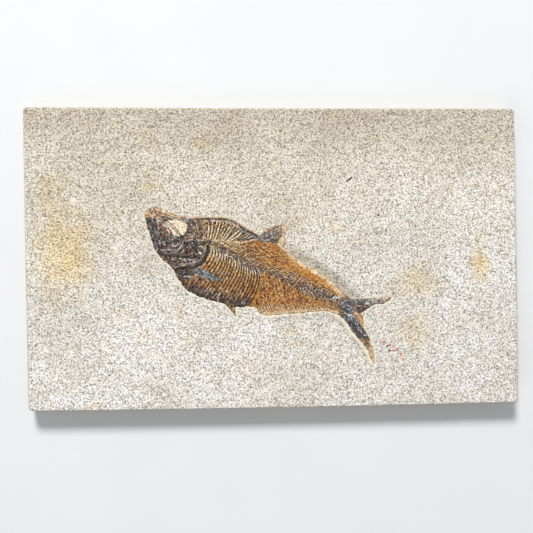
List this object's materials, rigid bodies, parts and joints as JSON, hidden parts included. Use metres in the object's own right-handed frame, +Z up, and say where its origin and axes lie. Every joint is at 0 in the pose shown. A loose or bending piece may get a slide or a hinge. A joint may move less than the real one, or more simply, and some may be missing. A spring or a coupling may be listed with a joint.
{
  "type": "fossil fish slab",
  "caption": "Thin rectangular limestone plate with a flattened herring-like fossil fish lying in low relief in its face; rests on its sawn back.",
  "frame": {"origin": "under the middle of the slab, on the flat back that it rests on", "axes": "+X along the slab's length, from the fish's head towards its tail; +Y across the slab, towards the fish's back; +Z up out of the face that holds the fish"},
  "size_m": [0.25, 0.1532, 0.0143],
  "materials": {
    "limestone": "matt, granular split face with a sawn back and sides",
    "fossil_bone": "satin, mineralised bone and scale film, dark brown to amber"
  },
  "bodies": {
    "root": {"matrix_slab": "limestone", "fossil_fish": "fossil_bone"}
  },
  "joints": []
}
